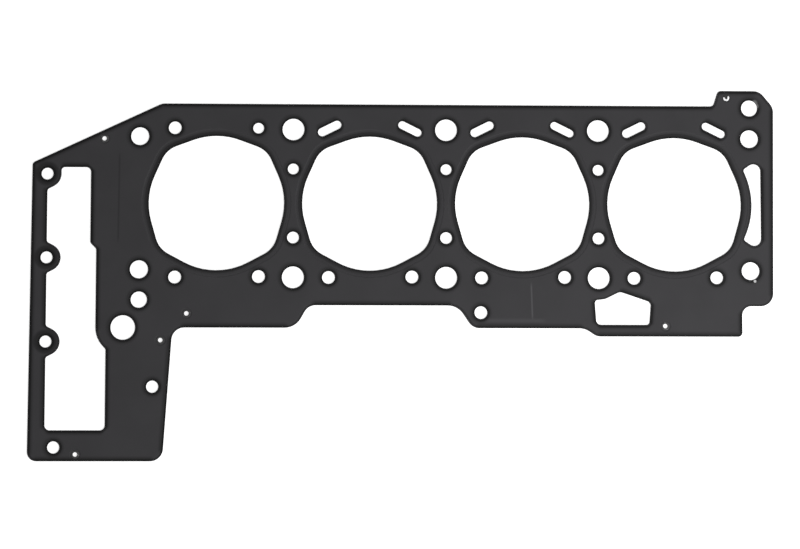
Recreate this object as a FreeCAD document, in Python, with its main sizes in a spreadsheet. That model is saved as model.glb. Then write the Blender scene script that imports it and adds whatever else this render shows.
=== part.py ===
import FreeCAD, Part

import math
import os

import Sketcher

# Cylinder head gasket of a four-bore bank, built as a stack of three steel sheets.
# Two thin spring-steel bead sheets lie face to face with a thicker plain carrier sheet
# between them. Both bead sheets step down to the carrier round every hole and along the
# whole edge, and carry a closed bead round each bore. Thin stop rings lie on the carrier
# inside the beads, and eyelets and one closed rivet hold the stack together.
#
# Millimetres. X runs along the bore row away from the chain window, Y across it towards
# the side with the slanted slots, Z out of the top face. The origin is midway between
# the two inner bores, at half the thickness of the stack. Reaches are measured along X
# from the centre of the first, third or last bore, rises and drops along Y from the bore
# row, and insets, leads, lifts and walls from the edge or hole that they go with.

SIZES = {
    # Bores and the land between them
    "bore_radius": 47.6,
    "bore_land": 12.8,
    "relief_depth": 2.6,
    "relief_radius": 17.4,
    "relief_angle_upper": 46.8,
    "relief_angle_lower": 39.0,
    # Sheets and their embossing
    "bead_sheet_gauge": 0.25,
    "carrier_gauge": 0.5,
    "carrier_edge_back": 0.1,
    "bead_height": 0.25,
    "step_width": 0.8,
    "rim_width": 1.2,
    "bore_rim_width": 2.2,
    "bead_floor": 1.4,
    # Stop rings
    "stop_ring_gauge": 0.12,
    "stop_ring_inset": 0.4,
    "stop_ring_width": 1.6,
    # Head bolt holes, their rows measured from the crown of the bores
    "bolt_row": 4.8,
    "bolt_hole_radius": 7.7,
    "end_bolt_inset": 5.3,
    "end_bolt_hole_radius": 6.35,
    # Coolant holes and slots, their rows measured from the crown of the bores
    "coolant_row": 4.6,
    "coolant_reach": 29.4,
    "coolant_turn": 0.5,
    "coolant_hole_radius": 4.5,
    "small_coolant_radius": 3.8,
    "slot_row": 5.6,
    "slot_reach": 28.4,
    "slot_length": 17.7,
    "slot_radius": 3.05,
    "narrow_slot_radius": 2.8,
    "slot_tilt": 26.5,
    "bridge_row": 24.3,
    "bridge_hole_radius": 4.15,
    "upper_bridge_radius": 3.85,
    # Holes of the front end
    "guide_hole_reach": 64.9,
    "guide_hole_drop": 88.0,
    "guide_hole_radius": 8.6,
    "oil_hole_lead": 11.0,
    "oil_hole_lift": 19.6,
    "oil_hole_radius": 5.7,
    "leg_hole_inset": 13.7,
    "leg_hole_drop": 129.4,
    "foot_hole_lead": 6.3,
    "foot_hole_lift": 9.6,
    "stud_hole_radius": 4.25,
    # Chain window, and an ear round each front cover hole
    "guide_wall": 10.5,
    "window_jog": 4.2,
    "window_jog_drop": 28.5,
    "window_step": 7.2,
    "window_straight": 0.5,
    "window_width": 30.5,
    "window_head": 4.75,
    "window_corner": 3.5,
    "cover_hole_rise": 20.25,
    "cover_hole_pitch": 59.1,
    "cover_hole_radius": 4.2,
    "ear_radius": 9.8,
    "ear_flank": 27.0,
    "fillet": 2.4,
    # Drain window under the last bore
    "drain_left_reach": 57.0,
    "drain_width": 39.9,
    "drain_lean": 1.2,
    "drain_peak_run": 18.0,
    "drain_peak_drop": 14.4,
    "drain_peak_radius": 5.0,
    "drain_dip_run": 7.5,
    "drain_dip_fall": 5.2,
    "drain_dip_radius": 8.0,
    "drain_left_fall": 6.0,
    "drain_right_fall": 7.4,
    "drain_height": 23.4,
    # Crescent slot beside the last bore
    "crescent_wall": 7.6,
    "crescent_width": 6.6,
    "crescent_rise": 33.6,
    "crescent_lean": 8.6,
    "crescent_tip_radius": 1.8,
    "crescent_corner": 5.0,
    # Tab at the rear corner
    "tab_height": 11.1,
    "tab_reach": 31.9,
    "tab_lean": 3.6,
    "tab_bevel_run": 9.8,
    "tab_bevel_drop": 11.8,
    "tab_hole_inset": 17.1,
    "tab_hole_drop": 12.4,
    "tab_hole_radius": 5.75,
    # Outer edge
    "deck_upper_margin": 18.0,
    "deck_lower_margin": 19.6,
    "front_margin": 10.5,
    "front_lean": 1.4,
    "front_corner_lift": 7.75,
    "front_slope_reach": 38.6,
    "foot_drop": 181.4,
    "foot_wall": 21.5,
    "foot_right_reach": 36.7,
    "leg_right_reach": 30.3,
    "flange_drop": 87.9,
    "flange_end_reach": 55.9,
    "flange_step_run": 9.0,
    "lobe_start": 45.9,
    "lobe_run": 10.7,
    "lobe_hole_run": 16.4,
    "lobe_hole_lift": 10.9,
    "rear_flange_lead": 6.8,
    "rear_flange_run": 8.2,
    "rear_flange_wall": 8.2,
    "rear_flange_end": 47.7,
    "rear_wall": 8.0,
    "rear_lean": 1.5,
    "edge_radius_small": 3.0,
    "edge_radius": 6.5,
    "edge_radius_large": 9.0,
    "edge_radius_sweep": 13.0,
    # Eyelets and the closed rivet
    "eyelet_bore_radius": 1.6,
    "eyelet_wall": 0.35,
    "eyelet_fit": 0.1,
    "eyelet_flange_radius": 2.9,
    "eyelet_flange_gauge": 0.2,
    "eyelet_lip_radius": 0.15,
    "rivet_shank_radius": 1.4,
    "rivet_head_radius": 2.35,
    "rivet_cup_radius": 0.9,
    "rivet_cup_depth": 0.8,
    "foot_eyelet_lead": 21.5,
    "foot_eyelet_lift": 4.7,
    "leg_eyelet_inset": 8.3,
    "leg_eyelet_drop": 8.9,
    "flange_eyelet_reach": 20.5,
    "flange_eyelet_lift": 9.9,
    "slope_eyelet_lead": 9.2,
    "slope_eyelet_lift": 20.4,
    "rear_eyelet_reach": 7.0,
    "rear_eyelet_lift": 7.4,
    "tab_rivet_lead": 5.9,
    "tab_rivet_drop": 5.0,
}

BORE_COUNT = 4
COVER_HOLE_COUNT = 3
UP = FreeCAD.Vector(0, 0, 1)

doc = FreeCAD.newDocument("head_gasket")
sheet = doc.addObject("Spreadsheet::Sheet", "Sizes")
for row, (alias, value) in enumerate(SIZES.items(), start=1):
    sheet.set(f"A{row}", alias)
    sheet.set(f"B{row}", str(value))
    sheet.setAlias(f"B{row}", alias)
doc.recompute()


def size(alias):
    """Value of a named size, read from the sheet."""
    return float(sheet.get(alias))


# Places along the bore row
PITCH = 2 * size("bore_radius") + size("bore_land")
BORES = [(index - (BORE_COUNT - 1) / 2) * PITCH for index in range(BORE_COUNT)]
BRIDGES = [(left + right) / 2 for left, right in zip(BORES, BORES[1:])]
FRONT = BORES[0]
LOBE_BORE = BORES[2]
REAR = BORES[-1]

# Places that follow from the holes and walls of the front end
GUIDE_HOLE = (FRONT - size("guide_hole_reach"), -size("guide_hole_drop"))
GUIDE_BEND = size("guide_hole_radius") + size("guide_wall")
WINDOW_MIDDLE = GUIDE_HOLE[0] - GUIDE_BEND
WINDOW_RIGHT = WINDOW_MIDDLE - size("window_jog")
COVER_LINE = WINDOW_RIGHT - size("window_width")
COVER_HOLES = [
    size("cover_hole_rise") - index * size("cover_hole_pitch")
    for index in range(COVER_HOLE_COUNT)
]
WINDOW_TOP = COVER_HOLES[0] + size("window_head")

# Rows and edges that several outlines share
CROWN = size("bore_radius")
BOLT_ROW = CROWN + size("bolt_row")
FOOT = -size("foot_drop")
FLANGE = -size("flange_drop")
LEG_RIGHT = FRONT - size("leg_right_reach")
LOBE = LOBE_BORE - size("lobe_start")
DRAIN_LEFT = REAR - size("drain_left_reach")
DRAIN_PEAK = -CROWN - size("drain_peak_drop")
DRAIN_FLOOR = DRAIN_PEAK - size("drain_height")
REAR_FLANGE = DRAIN_FLOOR - size("rear_flange_wall")
CRESCENT_INNER = CROWN + size("crescent_wall")
CRESCENT_OUTER = CRESCENT_INNER + size("crescent_width")
REAR_LOWER = REAR + CRESCENT_OUTER + size("rear_wall")
REAR_UPPER = REAR_LOWER + size("rear_lean")
DECK_TOP = BOLT_ROW + size("deck_upper_margin")
TAB_TOP = DECK_TOP + size("tab_height")
TAB_LEFT = REAR + size("tab_reach")

# Growths of an opening's outline, from its edge to the far side of each form round it
RIM = "Sizes.rim_width"
CARRIER_EDGE = "Sizes.carrier_edge_back"
BEAD_INNER = "(Sizes.bore_rim_width + Sizes.step_width)"
BEAD_OUTER = "(Sizes.bore_rim_width + Sizes.step_width + Sizes.bead_floor)"
RING_INNER = "Sizes.stop_ring_inset"
RING_OUTER = "(Sizes.stop_ring_inset + Sizes.stop_ring_width)"
SPREAD = "atan(Sizes.step_width / Sizes.bead_height)"
SHRINK = f"-{SPREAD}"


def worth(expression):
    """Number that an expression on the sheet gives."""
    return float(sheet.evalExpression(expression))


# Outlines, each counter-clockwise and drawn growth further out

def arc(x, y, radius, start, end):
    """Arc about a centre from one angle counter-clockwise to another."""
    circle = Part.Circle(FreeCAD.Vector(x, y, 0), UP, radius)
    return Part.ArcOfCircle(circle, start, end)


def on_circle(x, y, radius, angle):
    """Point of a circle at an angle."""
    return FreeCAD.Vector(x + radius * math.cos(angle), y + radius * math.sin(angle), 0)


def heading(corners, index):
    """Direction of travel into a corner, and the turn made at it."""
    x, y, _ = corners[index]
    x0, y0, _ = corners[index - 1]
    x2, y2, _ = corners[(index + 1) % len(corners)]
    come = math.atan2(y - y0, x - x0)
    return come, math.remainder(math.atan2(y2 - y, x2 - x) - come, 2 * math.pi)


def rounded(corners, growth):
    """Outline of straight sides between corners, each given as x, y and radius."""
    bends = []
    for index, (x, y, radius) in enumerate(corners):
        course, turn = heading(corners, index)
        side = math.copysign(1, turn)
        bisector = course + turn / 2 - math.pi / 2
        to_centre = radius * side / math.cos(turn / 2)
        centre_x = x - to_centre * math.cos(bisector)
        centre_y = y - to_centre * math.sin(bisector)
        start = course - side * math.pi / 2
        bends.append((centre_x, centre_y, radius + side * growth, start, start + turn))
    pieces = []
    for last, bend in zip(bends[-1:] + bends[:-1], bends):
        x, y, radius, start, end = bend
        leave = on_circle(last[0], last[1], last[2], last[4])
        arrive = on_circle(x, y, radius, start)
        pieces.append(Part.LineSegment(leave, arrive))
        pieces.append(arc(x, y, radius, min(start, end), max(start, end)))
    return pieces


def belt(circles, growth):
    """Outline of a belt drawn tight round circles, each given as x, y and radius."""
    spans = []
    for index, (x, y, radius) in enumerate(circles):
        x2, y2, radius2 = circles[(index + 1) % len(circles)]
        along = math.atan2(y2 - y, x2 - x)
        normal = along - math.acos((radius - radius2) / math.hypot(x2 - x, y2 - y))
        across = FreeCAD.Vector(math.cos(normal), math.sin(normal), 0)
        start = FreeCAD.Vector(x, y, 0) + across * (radius + growth)
        end = FreeCAD.Vector(x2, y2, 0) + across * (radius2 + growth)
        spans.append((start, end, normal))
    pieces = []
    for index, (x, y, radius) in enumerate(circles):
        start, end, normal = spans[index]
        arrive = spans[index - 1][2]
        wrap = (normal - arrive) % (2 * math.pi)
        pieces.append(arc(x, y, radius + growth, arrive, arrive + wrap))
        pieces.append(Part.LineSegment(start, end))
    return pieces


def bore(x, growth):
    """Bore opening: a circle with four round valve reliefs."""
    circle = (x, 0.0, CROWN)
    upper = math.radians(size("relief_angle_upper"))
    lower = math.radians(size("relief_angle_lower"))
    radius = size("relief_radius")
    reach = CROWN + size("relief_depth") - radius
    reliefs = [
        (x + reach * math.cos(angle), reach * math.sin(angle), radius)
        for angle in (upper, math.pi - upper, math.pi + lower, -lower)
    ]
    return belt([item for relief in reliefs for item in (circle, relief)], growth)


def slot(x, tilt, radius, growth):
    """Slanted coolant slot with round ends."""
    y = CROWN + size("slot_row")
    half = size("slot_length") / 2 - radius
    dx = half * math.cos(math.radians(tilt))
    dy = half * math.sin(math.radians(tilt))
    return belt([(x - dx, y - dy, radius), (x + dx, y + dy, radius)], growth)


def ear(y):
    """Corners where the chain window steps round one cover hole."""
    flank = math.radians(size("ear_flank"))
    half = size("ear_radius") / math.cos(flank)
    tip = size("ear_radius") / math.sin(flank)
    return [
        (COVER_LINE, y + half, size("fillet")),
        (COVER_LINE + tip, y, size("ear_radius")),
        (COVER_LINE, y - half, size("fillet")),
    ]


def chain_window(growth):
    """Tall window for the timing chain, down the whole front end."""
    fillet = size("fillet")
    corner = size("window_corner")
    flank = math.radians(size("ear_flank"))
    first_ear = COVER_LINE + size("ear_radius")
    first_ear_foot = COVER_HOLES[0] - size("ear_radius") / math.cos(flank)
    jog = -size("window_jog_drop")
    step = size("window_step")
    sway = (step - size("window_straight")) / (GUIDE_BEND + fillet)
    wrap = math.acos(1 - sway)
    guide_corner = GUIDE_HOLE[1] - GUIDE_BEND * math.tan(wrap / 2)
    lower_right = WINDOW_MIDDLE + step
    bottom = FOOT + size("foot_wall")
    corners = [
        (WINDOW_RIGHT, WINDOW_TOP, corner),
        (first_ear, WINDOW_TOP, fillet),
        (first_ear, first_ear_foot + size("ear_radius") * math.tan(flank), size("ear_radius")),
        (COVER_LINE, first_ear_foot, fillet),
    ]
    for y in COVER_HOLES[1:]:
        corners += ear(y)
    corners += [
        (COVER_LINE, bottom, corner),
        (lower_right, bottom, corner),
        (lower_right, guide_corner - step / math.tan(wrap), fillet),
        (WINDOW_MIDDLE, guide_corner, GUIDE_BEND),
        (WINDOW_MIDDLE, jog - size("window_jog"), fillet),
        (WINDOW_RIGHT, jog, fillet),
    ]
    return rounded(corners, growth)


def drain_window(growth):
    """Peaked oil drain window under the last bore."""
    lean = size("drain_lean")
    right = DRAIN_LEFT + size("drain_width")
    corner = size("window_corner")
    dip = (DRAIN_LEFT + size("drain_dip_run"), DRAIN_PEAK - size("drain_dip_fall"))
    return rounded([
        (DRAIN_LEFT + size("drain_peak_run"), DRAIN_PEAK, size("drain_peak_radius")),
        (*dip, size("drain_dip_radius")),
        (DRAIN_LEFT, DRAIN_PEAK - size("drain_left_fall"), size("fillet")),
        (DRAIN_LEFT + lean, DRAIN_FLOOR, corner),
        (right - lean, DRAIN_FLOOR, size("fillet")),
        (right, DRAIN_PEAK - size("drain_right_fall"), corner),
    ], growth)


def crescent(growth):
    """Crescent slot that hugs the last bore, its tips tangent to the inner side."""
    rise = size("crescent_rise")
    tip = rise - size("crescent_lean")
    tip_radius = size("crescent_tip_radius")
    wrap = math.asin((tip - tip_radius) / (CRESCENT_INNER + tip_radius))
    middle = REAR + CRESCENT_INNER / math.cos(wrap)
    outer = REAR + CRESCENT_OUTER
    inner = middle - tip * math.tan(wrap)
    corner = size("crescent_corner")
    return rounded([
        (outer, rise, corner),
        (inner, tip, tip_radius),
        (middle, 0.0, CRESCENT_INNER),
        (inner, -tip, tip_radius),
        (outer, -rise, corner),
    ], growth)


def outer_edge(growth):
    """Outer edge of the gasket, from the upper edge of the deck down the front end."""
    small = size("edge_radius_small")
    plain = size("edge_radius")
    large = size("edge_radius_large")
    sweep = size("edge_radius_sweep")
    bottom = -BOLT_ROW - size("deck_lower_margin")
    front = COVER_LINE - size("front_margin")
    flange_end = FRONT + size("flange_end_reach")
    rear_start = DRAIN_LEFT - size("rear_flange_lead")
    rear_end = REAR + size("rear_flange_end")
    return rounded([
        (FRONT - size("front_slope_reach"), DECK_TOP, large),
        (front, COVER_HOLES[0] + size("front_corner_lift"), small),
        (front - size("front_lean"), FOOT, plain),
        (FRONT - size("foot_right_reach"), FOOT, large),
        (LEG_RIGHT, FLANGE, large),
        (flange_end, FLANGE, sweep),
        (flange_end + size("flange_step_run"), bottom, large),
        (LOBE, bottom, sweep),
        (LOBE + size("lobe_run"), FLANGE, large),
        (rear_start, FLANGE, sweep),
        (rear_start + size("rear_flange_run"), REAR_FLANGE, large),
        (rear_end, REAR_FLANGE, small),
        (rear_end, bottom, plain),
        (REAR_LOWER, bottom, large),
        (REAR_UPPER, TAB_TOP - size("tab_bevel_drop"), large),
        (REAR_UPPER - size("tab_bevel_run"), TAB_TOP, large),
        (TAB_LEFT, TAB_TOP, small),
        (TAB_LEFT - size("tab_lean"), DECK_TOP, small),
    ], growth)


# Round holes, as a radius and the centres that share it

def row(xs, *ys):
    """Centres at each x on each of the rows."""
    return [(x, y) for x in xs for y in ys]


def coolant_pair(x):
    """Centres of the two lower coolant holes of a bore, turned a little about it."""
    turn = math.radians(size("coolant_turn"))
    reach = size("coolant_reach")
    drop = CROWN + size("coolant_row")
    return [
        (x + side * math.cos(turn) + drop * math.sin(turn),
         side * math.sin(turn) - drop * math.cos(turn))
        for side in (-reach, reach)
    ]


def round_holes():
    """Every round hole for bolts, studs, oil and coolant."""
    end_bolts = BOLT_ROW - size("end_bolt_inset")
    reach = size("coolant_reach")
    coolant = [centre for x in BORES for centre in coolant_pair(x)]
    slots = CROWN + size("slot_row")
    coolant.append((FRONT - reach, slots))
    coolant.append((LOBE + size("lobe_hole_run"), FLANGE + size("lobe_hole_lift")))
    return [
        ("bolt_hole_radius", row(BRIDGES, BOLT_ROW, -BOLT_ROW)),
        ("end_bolt_hole_radius", row((FRONT - PITCH / 2, REAR + PITCH / 2), end_bolts, -end_bolts)),
        ("coolant_hole_radius", coolant),
        ("small_coolant_radius", [(FRONT + reach, slots)]),
        ("bridge_hole_radius", row(BRIDGES, -size("bridge_row"))),
        ("upper_bridge_radius", row(BRIDGES, size("bridge_row"))),
        ("cover_hole_radius", row((COVER_LINE,), *COVER_HOLES)),
        ("guide_hole_radius", [GUIDE_HOLE]),
        ("oil_hole_radius", [
            (GUIDE_HOLE[0] + size("oil_hole_lead"), GUIDE_HOLE[1] + size("oil_hole_lift")),
        ]),
        ("stud_hole_radius", [
            (LEG_RIGHT - size("leg_hole_inset"), -size("leg_hole_drop")),
            (COVER_LINE + size("foot_hole_lead"), FOOT + size("foot_hole_lift")),
        ]),
        ("tab_hole_radius", [
            (REAR_UPPER - size("tab_hole_inset"), TAB_TOP - size("tab_hole_drop")),
        ]),
    ]


EYELETS = [
    (COVER_LINE + size("foot_eyelet_lead"), FOOT + size("foot_eyelet_lift")),
    (LEG_RIGHT - size("leg_eyelet_inset"), FLANGE - size("leg_eyelet_drop")),
    (FRONT - size("flange_eyelet_reach"), FLANGE + size("flange_eyelet_lift")),
    (WINDOW_RIGHT + size("slope_eyelet_lead"), WINDOW_TOP + size("slope_eyelet_lift")),
    (REAR - size("rear_eyelet_reach"), REAR_FLANGE + size("rear_eyelet_lift")),
]
TAB_RIVET = (TAB_LEFT + size("tab_rivet_lead"), TAB_TOP - size("tab_rivet_drop"))
SHANK = "Sizes.eyelet_bore_radius + Sizes.eyelet_wall"


# Sketches

def new_sketch(body, name, role="XY_Plane", height=None):
    """Sketch on one of the body's own origin planes, raised by an expression."""
    sketch = body.newObject("Sketcher::SketchObject", name)
    plane = next(face for face in body.Origin.OriginFeatures if face.Role == role)
    sketch.AttachmentSupport = [(plane, "")]
    sketch.MapMode = "FlatFace"
    if height:
        sketch.setExpression("AttachmentOffset.Base.z", height)
    return sketch


def add_circle(sketch, x, y, radius):
    """Circle whose radius is bound to an expression on the sheet."""
    circle = Part.Circle(FreeCAD.Vector(x, y, 0), UP, worth(radius))
    index = sketch.addGeometry(circle)
    bound = sketch.addConstraint(Sketcher.Constraint("Radius", index, worth(radius)))
    sketch.setExpression(f"Constraints[{bound}]", radius)


def add_openings(sketch, growth):
    """Every opening except the bores, each grown by an expression on the sheet."""
    amount = worth(growth)
    reach = size("slot_reach")
    tilt = size("slot_tilt")
    for outline in (chain_window, drain_window, crescent):
        sketch.addGeometry(outline(amount))
    for x in BORES[1:]:
        sketch.addGeometry(slot(x - reach, tilt, size("slot_radius"), amount))
        sketch.addGeometry(slot(x + reach, -tilt, size("narrow_slot_radius"), amount))
    for alias, centres in round_holes():
        for x, y in centres:
            add_circle(sketch, x, y, f"Sizes.{alias} + {growth}")
    for x, y in EYELETS:
        add_circle(sketch, x, y, f"{SHANK} + Sizes.eyelet_fit + {growth}")
    add_circle(sketch, *TAB_RIVET, f"Sizes.rivet_shank_radius + Sizes.eyelet_fit + {growth}")


# Features

def pad(body, name, sketch, length, taper=None):
    """Prism upwards from a sketch, its sides leaning by an angle where one is given."""
    feature = body.newObject("PartDesign::Pad", name)
    feature.Profile = sketch
    feature.setExpression("Length", length)
    if taper:
        feature.setExpression("TaperAngle", taper)
    return feature


def cut(body, name, sketch, length, taper=None):
    """Pocket upwards from a sketch, its sides leaning by an angle where one is given."""
    feature = body.newObject("PartDesign::Pocket", name)
    feature.Profile = sketch
    feature.Reversed = True
    feature.setExpression("Length", length)
    if taper:
        feature.setExpression("TaperAngle", taper)
    return feature


def revolve(body, name, points):
    """Solid of revolution about Z from a closed outline of radius and height pairs."""
    sketch = new_sketch(body, f"{name}_section", role="XZ_Plane")
    corners = [FreeCAD.Vector(radius, height, 0) for radius, height in points]
    for start, end in zip(corners[-1:] + corners[:-1], corners):
        sketch.addGeometry(Part.LineSegment(start, end))
    feature = body.newObject("PartDesign::Revolution", name)
    feature.Profile = sketch
    feature.ReferenceAxis = (sketch, ["V_Axis"])
    feature.Angle = 360
    return feature


# Sub-parts

def new_body(label):
    """Empty body whose label names its sub-part."""
    body = doc.addObject("PartDesign::Body", label)
    body.Label = label
    return body


def add_bores(sketch, growth):
    """The bores, each grown by an expression on the sheet."""
    for x in BORES:
        sketch.addGeometry(bore(x, worth(growth)))


def cut_openings(body, growth, depth):
    """Cut the bores and every other opening through a sheet of the given depth."""
    sketch = new_sketch(body, "openings")
    add_openings(sketch, growth)
    add_bores(sketch, growth)
    return cut(body, "through", sketch, depth)


def add_dished(sketch):
    """Floor of the dish round every opening, as far out as the bead round a bore."""
    add_openings(sketch, RIM)
    add_bores(sketch, BEAD_OUTER)


def emboss(body, name, draw, above, below, taper):
    """Press an area of the sheet up or down by the height of a bead."""
    gauge = "Sizes.bead_sheet_gauge"
    rise = "Sizes.bead_height"
    for side, make, height in (("face", above, gauge), ("back", below, None)):
        sketch = new_sketch(body, f"{name}_{side}_edge", height=height)
        draw(sketch)
        make(body, f"{name}_{side}", sketch, rise, taper)


def build_bead_sheet(label):
    """Spring-steel sheet that stands off the carrier sheet except at rims and beads."""
    body = new_body(label)
    blank = new_sketch(body, "blank_edge")
    blank.addGeometry(outer_edge(0.0))
    pad(body, "blank", blank, "Sizes.bead_sheet_gauge")
    inside_rim = outer_edge(-worth(RIM))
    emboss(body, "field", lambda sketch: sketch.addGeometry(inside_rim), pad, cut, SHRINK)
    emboss(body, "dish", add_dished, cut, pad, SPREAD)
    emboss(body, "bore_rim", lambda sketch: add_bores(sketch, BEAD_INNER), pad, cut, SHRINK)
    body.Tip = cut_openings(body, "0", "Sizes.bead_sheet_gauge + Sizes.bead_height")
    body.setExpression("Placement.Base.z", "Sizes.carrier_gauge / 2")
    return body


def build_mirrored(source, label):
    """Sheet that is the mirror image of another, on the other side of the carrier."""
    mirrored = doc.addObject("Part::Mirroring", label)
    mirrored.Label = label
    mirrored.Source = source
    mirrored.Normal = UP
    return mirrored


def build_carrier():
    """Plain carrier sheet between the bead sheets, its edges a little back from theirs."""
    body = new_body("carrier_layer")
    edge = new_sketch(body, "blank_edge")
    edge.addGeometry(outer_edge(-worth(CARRIER_EDGE)))
    pad(body, "blank", edge, "Sizes.carrier_gauge")
    body.Tip = cut_openings(body, CARRIER_EDGE, "Sizes.carrier_gauge")
    body.setExpression("Placement.Base.z", "-Sizes.carrier_gauge / 2")
    return body


def build_stop_ring(index, x):
    """Thin ring on the carrier sheet that keeps a bore's bead from being crushed."""
    body = new_body(f"stop_ring_{index}")
    outline = new_sketch(body, "ring_outline")
    outline.addGeometry(bore(0.0, worth(RING_OUTER)))
    outline.addGeometry(bore(0.0, worth(RING_INNER)))
    body.Tip = pad(body, "ring", outline, "Sizes.stop_ring_gauge")
    body.Placement.Base.x = x
    body.setExpression("Placement.Base.z", "Sizes.carrier_gauge / 2")
    return body


def flange_heights():
    """Heights of the rim's top face, where a flange seats, and of the flange's own face."""
    seat = size("carrier_gauge") / 2 + size("bead_sheet_gauge")
    return seat, seat + size("eyelet_flange_gauge")


def build_eyelet(index, centre):
    """Hollow eyelet with a flange seated in the dish of each bead sheet."""
    bore_radius = size("eyelet_bore_radius")
    shank = worth(SHANK)
    flange = size("eyelet_flange_radius")
    lip = size("eyelet_lip_radius")
    seat, face = flange_heights()
    body = new_body(f"eyelet_{index}")
    body.Tip = revolve(body, "eyelet", [
        (bore_radius, -face + lip),
        (bore_radius + lip, -face),
        (flange, -face),
        (flange, -seat),
        (shank, -seat),
        (shank, seat),
        (flange, seat),
        (flange, face),
        (bore_radius + lip, face),
        (bore_radius, face - lip),
    ])
    body.Placement.Base = FreeCAD.Vector(*centre, 0)
    return body


def build_rivet(centre):
    """Closed rivet with a deep cup in its upper head."""
    shank = size("rivet_shank_radius")
    flange = size("rivet_head_radius")
    cup = size("rivet_cup_radius")
    seat, face = flange_heights()
    body = new_body("tab_rivet")
    body.Tip = revolve(body, "rivet", [
        (0.0, -face),
        (flange, -face),
        (flange, -seat),
        (shank, -seat),
        (shank, seat),
        (flange, seat),
        (flange, face),
        (cup, face),
        (cup, face - size("rivet_cup_depth")),
        (0.0, face - size("rivet_cup_depth")),
    ])
    body.Placement.Base = FreeCAD.Vector(*centre, 0)
    return body


upper = build_bead_sheet("upper_bead_layer")
PARTS = [build_carrier(), upper, build_mirrored(upper, "lower_bead_layer")]
PARTS += [build_stop_ring(index, x) for index, x in enumerate(BORES, start=1)]
PARTS += [build_eyelet(index, centre) for index, centre in enumerate(EYELETS, start=1)]
PARTS.append(build_rivet(TAB_RIVET))
doc.recompute()

for item in doc.Objects:
    if {"Invalid", "Error"} & set(item.State):
        raise RuntimeError(f"{item.Label} failed: {item.State}")
for part in PARTS:
    if part.Shape.isNull() or not part.Shape.isValid() or len(part.Shape.Solids) != 1:
        raise RuntimeError(f"{part.Label} is not one valid solid")

os.makedirs("parts", exist_ok=True)
for part in PARTS:
    part.Shape.exportStep(f"parts/{part.Label}.step")
    bounds = part.Shape.BoundBox
    print(f"{part.Label}: {part.Shape.Volume:.1f} mm3, {len(part.Shape.Faces)} faces, "
          f"z {bounds.ZMin:.3f} to {bounds.ZMax:.3f}")
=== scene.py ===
import logging
import math
from collections import Counter, defaultdict
from collections.abc import Sequence
from dataclasses import dataclass, field
from enum import Enum

import bmesh
import bpy
from mathutils import Euler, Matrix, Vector


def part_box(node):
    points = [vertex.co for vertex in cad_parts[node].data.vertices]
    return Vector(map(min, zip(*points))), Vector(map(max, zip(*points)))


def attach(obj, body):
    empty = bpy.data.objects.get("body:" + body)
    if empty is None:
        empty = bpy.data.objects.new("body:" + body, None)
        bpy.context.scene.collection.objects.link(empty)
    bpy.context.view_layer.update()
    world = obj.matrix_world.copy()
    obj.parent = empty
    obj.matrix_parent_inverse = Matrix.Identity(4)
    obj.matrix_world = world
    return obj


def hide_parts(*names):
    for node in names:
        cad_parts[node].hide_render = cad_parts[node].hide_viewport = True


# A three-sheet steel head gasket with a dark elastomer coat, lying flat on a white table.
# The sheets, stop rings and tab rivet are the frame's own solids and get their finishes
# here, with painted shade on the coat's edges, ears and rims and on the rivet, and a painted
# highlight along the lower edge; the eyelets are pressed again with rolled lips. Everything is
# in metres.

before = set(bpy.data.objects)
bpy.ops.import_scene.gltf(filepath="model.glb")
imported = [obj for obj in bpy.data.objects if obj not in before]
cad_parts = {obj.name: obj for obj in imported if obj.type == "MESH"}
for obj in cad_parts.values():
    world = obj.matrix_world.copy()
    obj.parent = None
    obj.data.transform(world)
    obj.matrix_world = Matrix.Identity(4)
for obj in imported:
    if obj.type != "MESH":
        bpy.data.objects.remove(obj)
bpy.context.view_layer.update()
LOG = logging.getLogger("head_gasket")

MM = 0.001
# Further than any two places on the gasket
FAR = 1.0
# Half the height of the stack, and how deep its bead sheets are pressed
HALF_STACK = 0.75 * MM
PRESS_DEPTH = 0.25 * MM

EYELETS = [f"eyelet_{number}" for number in range(1, 6)]
STOP_RINGS = [f"stop_ring_{number}" for number in range(1, 5)]
TAB_RIVET = "tab_rivet"
# Ears of the chain window, each with a round hole
EARS = 3

Tint = tuple[float, float, float]
Colour = tuple[float, float, float, float]
Node = bpy.types.Node
Socket = bpy.types.NodeSocket
Source = Socket | float | tuple[float, ...] | Vector

NEUTRAL: Tint = (1.0, 1.0, 1.0)
WARM: Tint = (1.03, 1.0, 0.97)


def grey(level: float, tint: Tint = NEUTRAL) -> Colour:
    """Near-neutral colour with alpha.

    Args:
        level: linear brightness.
        tint: share of the level in red, green and blue.

    Returns:
        Red, green, blue and alpha.
    """
    red, green, blue = tint
    return (level * red, level * green, level * blue, 1.0)


def centre_of(name: str) -> Vector:
    """Centre of a node's box."""
    low, high = (Vector(corner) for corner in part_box(name))
    return (low + high) / 2


def axis_of(name: str) -> Vector:
    """Centre of a node across the sheet, its height left out."""
    return Vector((*centre_of(name).xy, 0.0))


class Slot(Enum):
    """Material slots of the record."""

    COAT = "coated_steel"
    CARRIER = "carrier_steel"
    STOP = "stop_steel"
    EYELET = "coated_eyelet"
    RIVET = "bright_rivet"


class Run(Enum):
    """Which way a roller mark runs, as the group's input Turned."""

    ALONG_Y = 0.0
    ALONG_X = 1.0


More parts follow.
